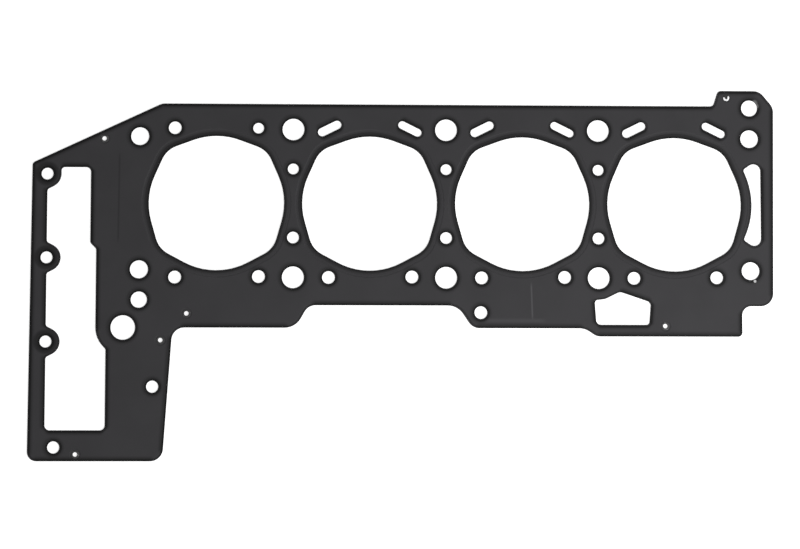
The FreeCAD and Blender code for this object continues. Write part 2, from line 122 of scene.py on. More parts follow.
class NodeSheet:
    """A node tree with short calls for adding and joining nodes."""

    # Numbers of the Mix node's sockets for colours, because their names occur more than once
    MIX_FACTOR = 0
    MIX_FIRST = 6
    MIX_SECOND = 7
    MIX_RESULT = 2

    def __init__(self, tree: bpy.types.NodeTree) -> None:
        """Keep the tree that the calls work on."""
        self.tree = tree

    def add(self, kind: str, **settings: object) -> Node:
        """Add a node.

        Args:
            kind: the node's type name.
            settings: attributes of the node, such as operation.

        Returns:
            The new node.
        """
        node = self.tree.nodes.new(kind)
        for name, value in settings.items():
            setattr(node, name, value)
        return node

    def feed(self, node: Node, socket: str | int, source: Source) -> None:
        """Link a socket to an output, or set it to a plain value.

        Args:
            node: the node that takes the value.
            socket: name or number of its input.
            source: an output socket, a number, a vector or a colour.
        """
        target = node.inputs[socket]
        if isinstance(source, Socket):
            self.tree.links.new(source, target)
        else:
            target.default_value = source

    def math(self, operation: str, *sources: Source, clamp: bool = False) -> Socket:
        """Add a Math node.

        Args:
            operation: its operation.
            sources: its inputs, as sockets or numbers.
            clamp: whether the result is held between 0 and 1.

        Returns:
            The result's socket.
        """
        node = self.add("ShaderNodeMath", operation=operation, use_clamp=clamp)
        for index, source in enumerate(sources):
            self.feed(node, index, source)
        return node.outputs[0]

    def ramp(self, source: Source, low: float, high: float) -> Socket:
        """Smooth step of a value between two limits.

        Args:
            source: the value.
            low: value at which the result is 0.
            high: value at which the result is 1.

        Returns:
            The result's socket.
        """
        node = self.add("ShaderNodeMapRange", interpolation_type="SMOOTHSTEP")
        self.feed(node, "Value", source)
        self.feed(node, "From Min", low)
        self.feed(node, "From Max", high)
        return node.outputs["Result"]

    def mix(self, factor: Source, first: Source, second: Source) -> Socket:
        """Blend two colours.

        Args:
            factor: share of the second colour.
            first: colour at 0.
            second: colour at 1.

        Returns:
            The blended colour's socket.
        """
        node = self.add("ShaderNodeMix", data_type="RGBA")
        self.feed(node, self.MIX_FACTOR, factor)
        self.feed(node, self.MIX_FIRST, first)
        self.feed(node, self.MIX_SECOND, second)
        return node.outputs[self.MIX_RESULT]

    def vector(self, operation: str, first: Source, second: Source) -> Socket:
        """Add a Vector Math node.

        Args:
            operation: its operation.
            first: its first vector.
            second: its second vector, or the factor of SCALE.

        Returns:
            The result's socket, a number for DISTANCE and DOT_PRODUCT.
        """
        node = self.add("ShaderNodeVectorMath", operation=operation)
        self.feed(node, 0, first)
        self.feed(node, "Scale" if operation == "SCALE" else 1, second)
        return node.outputs["Value" if operation in {"DISTANCE", "DOT_PRODUCT"} else "Vector"]

    def length(self, first: Source, second: Source) -> Socket:
        """Length of a plane vector.

        Args:
            first: its first part.
            second: its second part.

        Returns:
            The length's socket.
        """
        square = self.math("ADD", self.math("MULTIPLY", first, first),
                           self.math("MULTIPLY", second, second))
        return self.math("SQRT", square)

    def choose(self, test: Source, first: Source, second: Source) -> Socket:
        """Value that depends on a test.

        Args:
            test: 0 or 1.
            first: value at 0.
            second: value at 1.

        Returns:
            The chosen value's socket.
        """
        step = self.math("SUBTRACT", second, first)
        return self.math("MULTIPLY_ADD", step, test, first)

    def swing(self, noise: Source, mean: float, spread: float) -> Socket:
        """Value that a noise from 0 to 1 moves to either side of a mean, by the spread in all."""
        return self.math("MULTIPLY_ADD", noise, spread, mean - spread / 2)

    def object_place(self) -> Socket:
        """Object coordinates."""
        return self.add("ShaderNodeTexCoord").outputs["Object"]

    def flat(self, place: Source) -> Socket:
        """A place with its height left out."""
        return self.vector("MULTIPLY", place, (1.0, 1.0, 0.0))

    def parts(self, place: Source) -> tuple[Socket, Socket, Socket]:
        """Take a place apart.

        Args:
            place: coordinate socket.

        Returns:
            The sockets of its X, Y and Z.
        """
        split = self.add("ShaderNodeSeparateXYZ")
        self.feed(split, "Vector", place)
        return split.outputs["X"], split.outputs["Y"], split.outputs["Z"]

    def noise(self, place: Source, scale: Source, detail: float) -> Socket:
        """Noise over a place.

        Args:
            place: coordinate socket.
            scale: grains per metre.
            detail: octaves of finer noise.

        Returns:
            The noise value's socket.
        """
        node = self.add("ShaderNodeTexNoise")
        self.feed(node, "Vector", place)
        self.feed(node, "Scale", scale)
        self.feed(node, "Detail", detail)
        return node.outputs["Fac"]


class ShaderGroup:
    """A shader node group with named inputs and outputs."""

    def __init__(self, name: str, inputs: dict[str, float], outputs: list[str]) -> None:
        """Make the group's tree, sockets and end nodes.

        Args:
            name: the group's name.
            inputs: each input's name and default.
            outputs: each output's name.
        """
        self.tree = bpy.data.node_groups.new(name, "ShaderNodeTree")
        for title, value in inputs.items():
            socket = self.tree.interface.new_socket(
                title, in_out="INPUT", socket_type="NodeSocketFloat")
            socket.default_value = value
        for title in outputs:
            self.tree.interface.new_socket(title, in_out="OUTPUT", socket_type="NodeSocketFloat")
        self.sheet = NodeSheet(self.tree)
        self.source = self.sheet.add("NodeGroupInput")
        self.result = self.sheet.add("NodeGroupOutput")
        self.place = self.sheet.object_place()

    def given(self, title: str) -> Socket:
        """The socket inside the group that carries an input."""
        return self.source.outputs[title]

    def give(self, title: str, source: Source) -> None:
        """Send a value to an output."""
        self.sheet.feed(self.result, title, source)

    def use(self, sheet: NodeSheet, **values: float) -> bpy.types.NodeOutputs:
        """Place the group in a material.

        Args:
            sheet: the material's nodes.
            values: inputs by name, with _ for a space.

        Returns:
            The group's outputs by name.
        """
        node = sheet.add("ShaderNodeGroup")
        node.node_tree = self.tree
        for title, value in values.items():
            node.inputs[title.replace("_", " ")].default_value = value
        return node.outputs


def press_depth_group() -> ShaderGroup:
    """Mask that is 0 on the field of a bead sheet and 1 down on its rims.

    Returns:
        A group that reads the height above or below the stack's middle.
    """
    group = ShaderGroup("press_depth", {
        "Field height": HALF_STACK, "Depth": PRESS_DEPTH}, ["Depth"])
    sheet = group.sheet
    _, _, z = sheet.parts(group.place)
    fall = sheet.math("SUBTRACT", group.given("Field height"), sheet.math("ABSOLUTE", z))
    group.give("Depth", sheet.math("DIVIDE", fall, group.given("Depth"), clamp=True))
    return group


def bore_edge_group() -> ShaderGroup:
    """Distance out from the nearest bore's edge, a circle with four round reliefs.

    Returns:
        A group that folds X by the bore pitch and measures to the belt round the circles.
    """
    group = ShaderGroup("bore_edge", {
        "Pitch": 108.0 * MM, "Row end": 218.0 * MM, "Radius": 47.6 * MM,
        "Relief radius": 17.4 * MM, "Relief reach": 32.8 * MM,
        "Upper angle": math.radians(46.8), "Lower angle": math.radians(39.0),
    }, ["Distance"])
    sheet = group.sheet
    x, y, _ = sheet.parts(group.place)
    pitch = group.given("Pitch")
    fold = sheet.math("FLOORED_MODULO", x, pitch)
    across = sheet.math("ABSOLUTE", sheet.math("SUBTRACT", fold, sheet.math("DIVIDE", pitch, 2.0)))
    large, small, reach = (
        group.given(name) for name in ("Radius", "Relief radius", "Relief reach"))
    lean = sheet.math("DIVIDE", sheet.math("SUBTRACT", large, small), reach)
    upright = sheet.math("SQRT", sheet.math("SUBTRACT", 1.0, sheet.math("MULTIPLY", lean, lean)))

    def belt(side: Source, angle: Source) -> Socket:
        """Distance to the belt round the bore's circle and one relief.

        Args:
            side: distance from the bore row on the relief's side.
            angle: turn of the relief away from the bore row.

        Returns:
            The distance's socket, below 0 inside the belt.
        """
        cosine, sine = sheet.math("COSINE", angle), sheet.math("SINE", angle)
        along = sheet.math("ADD", sheet.math("MULTIPLY", across, cosine),
                           sheet.math("MULTIPLY", side, sine))
        aside = sheet.math("ABSOLUTE", sheet.math(
            "SUBTRACT", sheet.math("MULTIPLY", across, sine), sheet.math("MULTIPLY", side, cosine)))
        place = sheet.math("SUBTRACT", sheet.math("MULTIPLY", along, upright),
                           sheet.math("MULTIPLY", aside, lean))
        straight = sheet.math("SUBTRACT", sheet.math("ADD", sheet.math("MULTIPLY", aside, upright),
                                                     sheet.math("MULTIPLY", along, lean)), large)
        round_bore = sheet.math("SUBTRACT", sheet.length(along, aside), large)
        round_relief = sheet.math(
            "SUBTRACT", sheet.length(sheet.math("SUBTRACT", along, reach), aside), small)
        past = sheet.math("GREATER_THAN", place, sheet.math("MULTIPLY", upright, reach))
        before = sheet.math("LESS_THAN", place, 0.0)
        outer = sheet.choose(past, straight, round_relief)
        return sheet.choose(before, outer, round_bore)

    upper = belt(y, group.given("Upper angle"))
    lower = belt(sheet.math("MULTIPLY", y, -1.0), group.given("Lower angle"))
    near = sheet.math("MINIMUM", upper, lower)
    beyond = sheet.math("GREATER_THAN", sheet.math("ABSOLUTE", x), group.given("Row end"))
    group.give("Distance", sheet.math("ADD", near, beyond))
    return group


@dataclass(frozen=True)
class Outline:
    """Round holes, as centre and radius, and long straight edges, as their ends."""

    holes: list[tuple[Vector, float]]
    straights: list[tuple[Vector, Vector]]

    def ear_holes(self) -> list[Vector]:
        """Centres of the three ears' holes, the first ones along X."""
        return sorted((centre for centre, _ in self.holes), key=lambda centre: centre.x)[:EARS]


def edge_loops(name: str, flat_within: float = 0.01 * MM, digits: int = 7) -> list[list[Vector]]:
    """Closed edges of a flat sheet's upper face.

    Args:
        name: the sheet's node.
        flat_within: how far below the highest corner a corner is still on that face.
        digits: decimals of a metre at which two corners are the same.

    Returns:
        The corners of each loop in order, with their height left out.
    """
    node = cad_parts[name]
    corners = [node.matrix_world @ vertex.co for vertex in node.data.vertices]
    top = max(corner.z for corner in corners) - flat_within
    uses: Counter[frozenset[tuple[float, ...]]] = Counter()
    for face in node.data.polygons:
        if min(corners[index].z for index in face.vertices) > top:
            ring = [tuple(round(value, digits) for value in corners[index].xy)
                    for index in face.vertices]
            uses.update(frozenset(pair) for pair in zip(ring, ring[1:] + ring[:1]))
    links = defaultdict(list)
    for pair, count in uses.items():
        if count == 1 and len(pair) == 2:
            first, second = pair
            links[first].append(second)
            links[second].append(first)
    loops = []
    while links:
        place = next(iter(links))
        loop = []
        while place in links:
            loop.append(Vector((*place, 0.0)))
            ahead = links.pop(place)
            place = next((other for other in ahead if other in links), None)
        loops.append(loop)
    return loops


def read_outline(name: str, least_radius: float, least_run: float,
                 round_within: float = 0.02 * MM) -> Outline:
    """Sort a sheet's edges into round holes and long straight edges.

    Args:
        name: the sheet's node.
        least_radius: radius under which a round hole is left out.
        least_run: length under which a straight edge is left out.
        round_within: how much a round hole's radius varies at most.

    Returns:
        The holes and the straight edges.
    """
    holes, straights = [], []
    for loop in edge_loops(name):
        centre = sum(loop, Vector()) / len(loop)
        reaches = [(corner - centre).length for corner in loop]
        radius = sum(reaches) / len(reaches)
        if max(reaches) - min(reaches) < round_within:
            if radius > least_radius:
                holes.append((centre, radius))
            continue
        straights += [(start, end) for start, end in zip(loop, loop[1:] + loop[:1])
                      if (end - start).length > least_run]
    return Outline(holes, straights)


def sheet_edge_group(outline: Outline) -> ShaderGroup:
    """Distances to the nearest round hole and long straight edge of the stack.

    Args:
        outline: the holes and edges.

    Returns:
        A group that takes the least distance across the sheet for either kind.
    """
    group = ShaderGroup("sheet_edge", {}, ["Hole", "Straight"])
    sheet = group.sheet
    flat = sheet.flat(group.place)
    near: Source = FAR
    for centre, radius in outline.holes:
        away = sheet.vector("DISTANCE", flat, centre)
        near = sheet.math("MINIMUM", near, sheet.math("SUBTRACT", away, radius))
    group.give("Hole", near)
    near = FAR
    for start, end in outline.straights:
        run = end - start
        place = sheet.vector("SUBTRACT", flat, start)
        along = sheet.vector("DOT_PRODUCT", place, run / run.length_squared)
        share = sheet.math("MAXIMUM", sheet.math("MINIMUM", along, 1.0), 0.0)
        foot = sheet.vector("SCALE", run, share)
        near = sheet.math("MINIMUM", near, sheet.vector("DISTANCE", place, foot))
    group.give("Straight", near)
    return group


def axis_group(name: str, centres: list[Vector]) -> ShaderGroup:
    """Distance to the nearest of some upright axes.

    Args:
        name: the group's name.
        centres: where the axes stand.

    Returns:
        A group that takes the least of the distances.
    """
    group = ShaderGroup(name, {}, ["Distance"])
    sheet = group.sheet
    flat = sheet.flat(group.place)
    near: Source = FAR
    for centre in centres:
        near = sheet.math("MINIMUM", near, sheet.vector("DISTANCE", flat, centre))
    group.give("Distance", near)
    return group


def fastener_group() -> ShaderGroup:
    """Distance to the nearest eyelet's or rivet's axis."""
    return axis_group("fastener_axis", [axis_of(name) for name in (*EYELETS, TAB_RIVET)])


def spot_group(core: float = 0.4) -> ShaderGroup:
    """Soft round spot.

    Args:
        core: share of the radius within which the spot is full.

    Returns:
        A group that is 1 in the spot and 0 beyond its radius.
    """
    group = ShaderGroup("spot", {"X": 0.0, "Y": 0.0, "Radius": 1.0 * MM}, ["Mark"])
    sheet = group.sheet
    x, y, _ = sheet.parts(group.place)
    away = sheet.length(sheet.math("SUBTRACT", x, group.given("X")),
                        sheet.math("SUBTRACT", y, group.given("Y")))
    share = sheet.math("DIVIDE", away, group.given("Radius"))
    group.give("Mark", sheet.ramp(share, 1.0, core))
    return group


def grain_group(fine_detail: float = 2.0, coarse_detail: float = 4.0,
                low: float = 0.3, high: float = 0.7, coarse_height: float = 0.3) -> ShaderGroup:
    """Fine and coarse mottle of a sprayed or rolled surface.

    Args:
        fine_detail: octaves of the fine noise.
        coarse_detail: octaves of the coarse noise.
        low: coarse noise at which the mottle is 0.
        high: coarse noise at which the mottle is 1.
        coarse_height: share of the coarse noise in the bump height.

    Returns:
        A group whose outputs are a fine grain, a slow mottle and a bump height.
    """
    group = ShaderGroup("surface_grain", {"Fine": 0.45 * MM, "Coarse": 35.0 * MM}, [
        "Grain", "Mottle", "Height"])
    sheet = group.sheet
    fine, coarse = (
        sheet.noise(group.place, sheet.math("DIVIDE", 1.0, group.given(size)), detail)
        for size, detail in (("Fine", fine_detail), ("Coarse", coarse_detail)))
    group.give("Grain", fine)
    group.give("Mottle", sheet.ramp(coarse, low, high))
    group.give("Height", sheet.math("ADD", fine, sheet.math("MULTIPLY", coarse, coarse_height)))
    return group


def streak_group(fade: float = 6.0 * MM) -> ShaderGroup:
    """Soft straight mark across or along the bore row, as a coating roller leaves; also used for a
    band of painted highlight.

    Args:
        fade: length over which the mark fades at its ends.

    Returns:
        A group that is 1 on the mark and 0 away from it; it runs along Y, or X when turned.
    """
    group = ShaderGroup("roller_streak_and_highlight", {
        "Turned": Run.ALONG_Y.value, "Place": 0.0, "Slant": 0.0, "Half width": 0.5 * MM,
        "Start": -100.0 * MM, "End": 100.0 * MM}, ["Mark"])
    sheet = group.sheet
    x, y, _ = sheet.parts(group.place)
    run = sheet.choose(group.given("Turned"), y, x)
    side = sheet.choose(group.given("Turned"), x, y)
    line = sheet.math("MULTIPLY_ADD", run, group.given("Slant"), group.given("Place"))
    away = sheet.math("ABSOLUTE", sheet.math("SUBTRACT", side, line))
    band = sheet.ramp(sheet.math("DIVIDE", away, group.given("Half width")), 1.0, 0.0)
    above = sheet.math("SUBTRACT", run, group.given("Start"))
    below = sheet.math("SUBTRACT", group.given("End"), run)
    ends = sheet.ramp(sheet.math("MINIMUM", above, below), 0.0, fade)
    group.give("Mark", sheet.math("MULTIPLY", band, ends))
    return group


@dataclass(frozen=True)
class Groups:
    """Shader groups that the finishes share."""

    outline: Outline
    depth: ShaderGroup = field(default_factory=press_depth_group)
    bores: ShaderGroup = field(default_factory=bore_edge_group)
    fasteners: ShaderGroup = field(default_factory=fastener_group)
    spot: ShaderGroup = field(default_factory=spot_group)
    grain: ShaderGroup = field(default_factory=grain_group)
    streak: ShaderGroup = field(default_factory=streak_group)


def new_material(title: str) -> tuple[bpy.types.Material, NodeSheet, Node]:
    """Material with only a Principled shader.

    Args:
        title: the material's name.

    Returns:
        The material, its nodes and the shader's node.
    """
    material = bpy.data.materials.new(title)
    material.use_nodes = True
    sheet = NodeSheet(material.node_tree)
    return material, sheet, material.node_tree.nodes["Principled BSDF"]


def add_bump(sheet: NodeSheet, shader: Node, height: Source, depth: float) -> None:
    """Give a shader a bump.

    Args:
        sheet: the material's nodes.
        shader: the Principled shader.
        height: height socket.
        depth: depth of the bump, in metres.
    """
    bump = sheet.add("ShaderNodeBump")
    sheet.feed(bump, "Height", height)
    sheet.feed(bump, "Distance", depth)
    sheet.feed(shader, "Normal", bump.outputs["Normal"])


@dataclass(frozen=True)
class Streak:
    """Straight roller mark or band of painted highlight: its middle line, its ends and its share
    of the field's level.
    """

    run: Run
    place: float
    slant: float
    half_width: float
    start: float
    end: float
    level: float


@dataclass(frozen=True)
class Spot:
    """Round spot on the coat, by its centre and radius, and its level."""

    x: float
    y: float
    radius: float
    level: float


@dataclass(frozen=True)
class CoatFinish:
    """Charcoal elastomer coat of the bead sheets, with painted shade that darkens it towards the
    edges, on the ears and down on the rims, and a painted highlight along the lower edge.

    The sizes that end in start, reach, radius or soft say where a shade begins and ends.
    """

    groups: Groups
    tint: Tint = (1.0, 0.975, 1.04)
    field_level: float = 0.0365
    grain_size: float = 0.45 * MM
    mottle_size: float = 35.0 * MM
    mottle: float = 0.05
    speck_low: float = 0.55
    speck_high: float = 0.8
    speck_share: float = 0.2
    speck_level: float = 1.5
    streak_share: float = 0.7
    # Near-black painted shade at bore, hole and straight edges, and painted shade on the ears
    edge_shade_level: float = 0.002
    edge_start: float = -0.6 * MM
    hole_start: float = -1.2 * MM
    edge_reach: float = 4.4 * MM
    ear_radius: float = 9.6 * MM
    ear_soft: float = 2.0 * MM
    ear_painted_shade: float = 0.42
    # Painted shade on the rims pressed down below the field
    rim_shade_level: float = 0.004
    rim_share: float = 0.5
    bead_reach: float = 5.3 * MM
    bead_soft: float = 0.1 * MM
    fastener_start: float = 3.2 * MM
    fastener_reach: float = 4.6 * MM
    roughness: float = 0.62
    roughness_spread: float = 0.14
    specular: float = 0.15
    bump_depth: float = 0.02 * MM
    streaks: tuple[Streak, ...] = (
        Streak(Run.ALONG_Y, 58.3 * MM, -0.032, 1.0 * MM, -84.0 * MM, -54.0 * MM, 2.2),
        Streak(Run.ALONG_Y, -230.5 * MM, 0.008, 1.1 * MM, -30.0 * MM, 37.0 * MM, 0.6),
        # Painted highlight: a lighter band along the half-bead at the lower edge, where it catches
        # light
        Streak(Run.ALONG_X, -82.6 * MM, 0.0, 2.4 * MM, 24.0 * MM, 72.0 * MM, 1.5),
    )
    spots: tuple[Spot, ...] = (
        Spot(219.0 * MM, -54.3 * MM, 1.3 * MM, 0.55),
        Spot(215.4 * MM, -53.8 * MM, 0.8 * MM, 0.06),
        Spot(219.9 * MM, 72.9 * MM, 2.9 * MM, 0.13),
        Spot(221.0 * MM, 70.8 * MM, 2.6 * MM, 0.13),
    )

    def shade(self, share: float) -> Colour:
        """The coat's colour at a share of the field's level."""
        return grey(self.field_level * share, self.tint)

    def field_colour(self, sheet: NodeSheet, mottle: Source, grain: Source) -> Socket:
        """Colour of the open field, with its mottle, light specks and roller marks, and a painted
        highlight along the lower edge.

        Args:
            sheet: the material's nodes.
            mottle: socket of the slow mottle.
            grain: socket of the fine grain.

        Returns:
            The colour's socket.
        """
        colour = sheet.mix(mottle, self.shade(1 - self.mottle), self.shade(1 + self.mottle))
        speck = sheet.math(
            "MULTIPLY", sheet.ramp(grain, self.speck_low, self.speck_high), self.speck_share)
        colour = sheet.mix(speck, colour, self.shade(self.speck_level))
        for streak in self.streaks:
            mark = self.groups.streak.use(
                sheet, Turned=streak.run.value, Place=streak.place, Slant=streak.slant,
                Half_width=streak.half_width, Start=streak.start, End=streak.end)["Mark"]
            share = sheet.math("MULTIPLY", mark, self.streak_share)
            colour = sheet.mix(share, colour, self.shade(streak.level))
        return colour

    def painted_edge_shade(self, sheet: NodeSheet, long_edge: Source, hole: Source,
                        ear: Source) -> Socket:
        """Painted shade mask: 0 at an edge and 1 on the field, and less than 1 on the darker ears.

        Args:
            sheet: the material's nodes.
            long_edge: distance to the nearest bore or straight edge.
            hole: distance to the nearest round hole.
            ear: distance to the axis of the nearest ear's hole.

        Returns:
            The mask's socket.
        """
        away = sheet.math("MULTIPLY", sheet.ramp(long_edge, self.edge_start, self.edge_reach),
                          sheet.ramp(hole, self.hole_start, self.edge_reach))
        eared = sheet.ramp(ear, self.ear_radius, self.ear_radius - self.ear_soft)
        return sheet.math("MULTIPLY", away, sheet.math(
            "MULTIPLY_ADD", eared, -self.ear_painted_shade, 1.0))

    def painted_rim_shade(self, sheet: NodeSheet, depth: Source, bore: Source, fastener: Source) -> Socket:
        """Mask of painted shade on the pressed rims outside the bore beads, clear of the fasteners.

        Args:
            sheet: the material's nodes.
            depth: press depth, from 0 on the field to 1 on the rims.
            bore: distance to the nearest bore's edge.
            fastener: distance to the nearest fastener's axis.

        Returns:
            The mask's socket.
        """
        bead = sheet.ramp(bore, self.bead_reach - self.bead_soft, self.bead_reach)
        clear = sheet.ramp(fastener, self.fastener_start, self.fastener_reach)
        rim_shade = sheet.math("MULTIPLY", depth, sheet.math("MULTIPLY", bead, clear))
        return sheet.math("MULTIPLY", rim_shade, self.rim_share)

    def build(self) -> bpy.types.Material:
        """Make the material.

        Returns:
            The finished material.
        """
        material, sheet, shader = new_material(Slot.COAT.value)
        outline = self.groups.outline
        grain = self.groups.grain.use(sheet, Fine=self.grain_size, Coarse=self.mottle_size)
        depth = self.groups.depth.use(sheet)["Depth"]
        bore = self.groups.bores.use(sheet)["Distance"]
        edge = sheet_edge_group(outline).use(sheet)
        ear = axis_group("ear_axis", outline.ear_holes()).use(sheet)["Distance"]
        fastener = self.groups.fasteners.use(sheet)["Distance"]
        colour = self.field_colour(sheet, grain["Mottle"], grain["Grain"])
        # Painted shade: the coat darkens towards every bore, hole and straight edge, and on the
        # ears
        long_edge = sheet.math("MINIMUM", bore, edge["Straight"])
        away = self.painted_edge_shade(sheet, long_edge, edge["Hole"], ear)
        colour = sheet.mix(away, grey(self.edge_shade_level, self.tint), colour)
        # Painted shade: the pressed rims are coloured darker than the field
        rim_shade = self.painted_rim_shade(sheet, depth, bore, fastener)
        colour = sheet.mix(rim_shade, colour, grey(self.rim_shade_level))
        for spot in self.spots:
            mark = self.groups.spot.use(sheet, X=spot.x, Y=spot.y, Radius=spot.radius)["Mark"]
            colour = sheet.mix(mark, colour, grey(spot.level))
        sheet.feed(shader, "Base Color", colour)
        rough = sheet.swing(grain["Grain"], self.roughness, self.roughness_spread)
        sheet.feed(shader, "Roughness", rough)
        sheet.feed(shader, "Specular IOR Level", self.specular)
        add_bump(sheet, shader, grain["Height"], self.bump_depth)
        return material


@dataclass(frozen=True)
class SteelFinish:
    """Rolled or pressed steel with a fine lengthwise grain and faint warm stains."""

    groups: Groups
    slot: Slot
    level: float
    roughness: float
    roughness_spread: float = 0.2
    line_size: float = 2.4 * MM
    line_detail: float = 5.0
    line_stretch: float = 12.0
    line_dark: float = 0.82
    line_light: float = 1.12
    grain_size: float = 0.2 * MM
    stain_size: float = 6.0 * MM
    stain_share: float = 0.3
    stain_level: float = 0.7
    bump_depth: float = 0.01 * MM

    def build(self) -> bpy.types.Material:
        """Make the material.

        Returns:
            The finished material.
        """
        material, sheet, shader = new_material(self.slot.value)
        stretch = sheet.add("ShaderNodeMapping")
        sheet.feed(stretch, "Vector", sheet.object_place())
        sheet.feed(stretch, "Scale", (1.0, self.line_stretch, 1.0))
        lines = sheet.noise(stretch.outputs["Vector"], 1.0 / self.line_size, self.line_detail)
        grain = self.groups.grain.use(sheet, Fine=self.grain_size, Coarse=self.stain_size)
        tone = sheet.mix(
            lines, grey(self.level * self.line_dark), grey(self.level * self.line_light))
        stain = sheet.math("MULTIPLY", grain["Mottle"], self.stain_share)
        tone = sheet.mix(stain, tone, grey(self.level * self.stain_level, WARM))
        sheet.feed(shader, "Base Color", tone)
        sheet.feed(shader, "Metallic", 1.0)
        rough = sheet.swing(lines, self.roughness, self.roughness_spread)
        sheet.feed(shader, "Roughness", rough)
        add_bump(sheet, shader, lines, self.bump_depth)
        return material


@dataclass(frozen=True)
class EyeletFinish:
    """Dark coated steel, worn to metal in places."""

    groups: Groups
    coat_level: float = 0.022
    worn_level: float = 0.12
    worn_start: float = 0.75
    worn_metal: float = 0.8
    grain_size: float = 0.3 * MM
    mottle_size: float = 2.0 * MM
    roughness: float = 0.5
    roughness_spread: float = 0.2
    bump_depth: float = 0.02 * MM

    def build(self) -> bpy.types.Material:
        """Make the material.

        Returns:
            The finished material.
        """
        material, sheet, shader = new_material(Slot.EYELET.value)
        grain = self.groups.grain.use(sheet, Fine=self.grain_size, Coarse=self.mottle_size)
        worn = sheet.ramp(grain["Mottle"], self.worn_start, 1.0)
        tone = sheet.mix(worn, grey(self.coat_level), grey(self.worn_level))
        sheet.feed(shader, "Base Color", tone)
        sheet.feed(shader, "Metallic", sheet.math("MULTIPLY", worn, self.worn_metal))
        rough = sheet.swing(grain["Grain"], self.roughness, self.roughness_spread)
        sheet.feed(shader, "Roughness", rough)
        add_bump(sheet, shader, grain["Height"], self.bump_depth)
        return material


@dataclass(frozen=True)
class RivetFinish:
    """Bright rolled steel ring with coat on the rest, and painted shade: coat colour in its cup and
    on the side turned away from the light, where the ring is left open.
    """

    groups: Groups
    axis: Vector
    ring_level: float = 0.85
    # Dark coat colour, also used as painted shade in the cup and on the ring's open side
    coat_level: float = 0.02
    ring_inside: float = 0.85 * MM
    ring_outside: float = 2.25 * MM
    ring_soft: float = 0.2 * MM
    shaded_turn: float = math.radians(105.0)
    gap_limit: float = 0.45
    gap_soft: float = 0.25
    gap_waver: float = 0.3
    grain_size: float = 0.3 * MM
    mottle_size: float = 1.2 * MM
    roughness: float = 0.4
    roughness_spread: float = 0.2
    specular: float = 0.3
    bump_depth: float = 0.02 * MM

    def open_ring(self, sheet: NodeSheet, grain: Source) -> Socket:
        """Mask of the bright ring, left open as painted shade where it faces the shaded turn; the
        cup inside it is painted shade too.

        Args:
            sheet: the material's nodes.
            grain: noise that makes the gap's ends waver.

        Returns:
            The mask's socket.
        """
        flat = sheet.flat(sheet.object_place())
        away = sheet.vector("DISTANCE", flat, self.axis)
        aside = sheet.vector("SUBTRACT", flat, self.axis)
        towards = (math.cos(self.shaded_turn), math.sin(self.shaded_turn), 0.0)
        lean = sheet.math("DIVIDE", sheet.vector("DOT_PRODUCT", aside, towards), away)
        lean = sheet.math("MULTIPLY_ADD", grain, self.gap_waver, lean)
        ring = sheet.math(
            "MULTIPLY",
            sheet.ramp(away, self.ring_inside, self.ring_inside + self.ring_soft),
            sheet.ramp(away, self.ring_outside, self.ring_outside - self.ring_soft))
        # Painted shade: the ring is left open on the side turned away from the light
        closed = sheet.ramp(lean, self.gap_limit + self.gap_soft, self.gap_limit)
        return sheet.math("MULTIPLY", ring, closed)

    def build(self) -> bpy.types.Material:
        """Make the material.

        Returns:
            The finished material.
        """
        material, sheet, shader = new_material(Slot.RIVET.value)
        grain = self.groups.grain.use(sheet, Fine=self.grain_size, Coarse=self.mottle_size)
        bright = self.open_ring(sheet, grain["Grain"])
        tone = sheet.mix(bright, grey(self.coat_level), grey(self.ring_level))
        sheet.feed(shader, "Base Color", tone)
        sheet.feed(shader, "Metallic", bright)
        rough = sheet.swing(grain["Grain"], self.roughness, self.roughness_spread)
        sheet.feed(shader, "Roughness", rough)
        sheet.feed(shader, "Specular IOR Level", self.specular)
        add_bump(sheet, shader, grain["Height"], self.bump_depth)
        return material


@dataclass
class Dressing:
    """A group of frame nodes that keep their shape and share one finish."""

    title: str
    nodes: list[str]
    finish: CoatFinish | SteelFinish | RivetFinish

    def build(self) -> None:
        """Give each node the finish."""
        material = self.finish.build()
        for name in self.nodes:
            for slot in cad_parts[name].material_slots:
                slot.material = material
            LOG.info("%s: %s keeps its solid, finish %s", self.title, name, material.name)


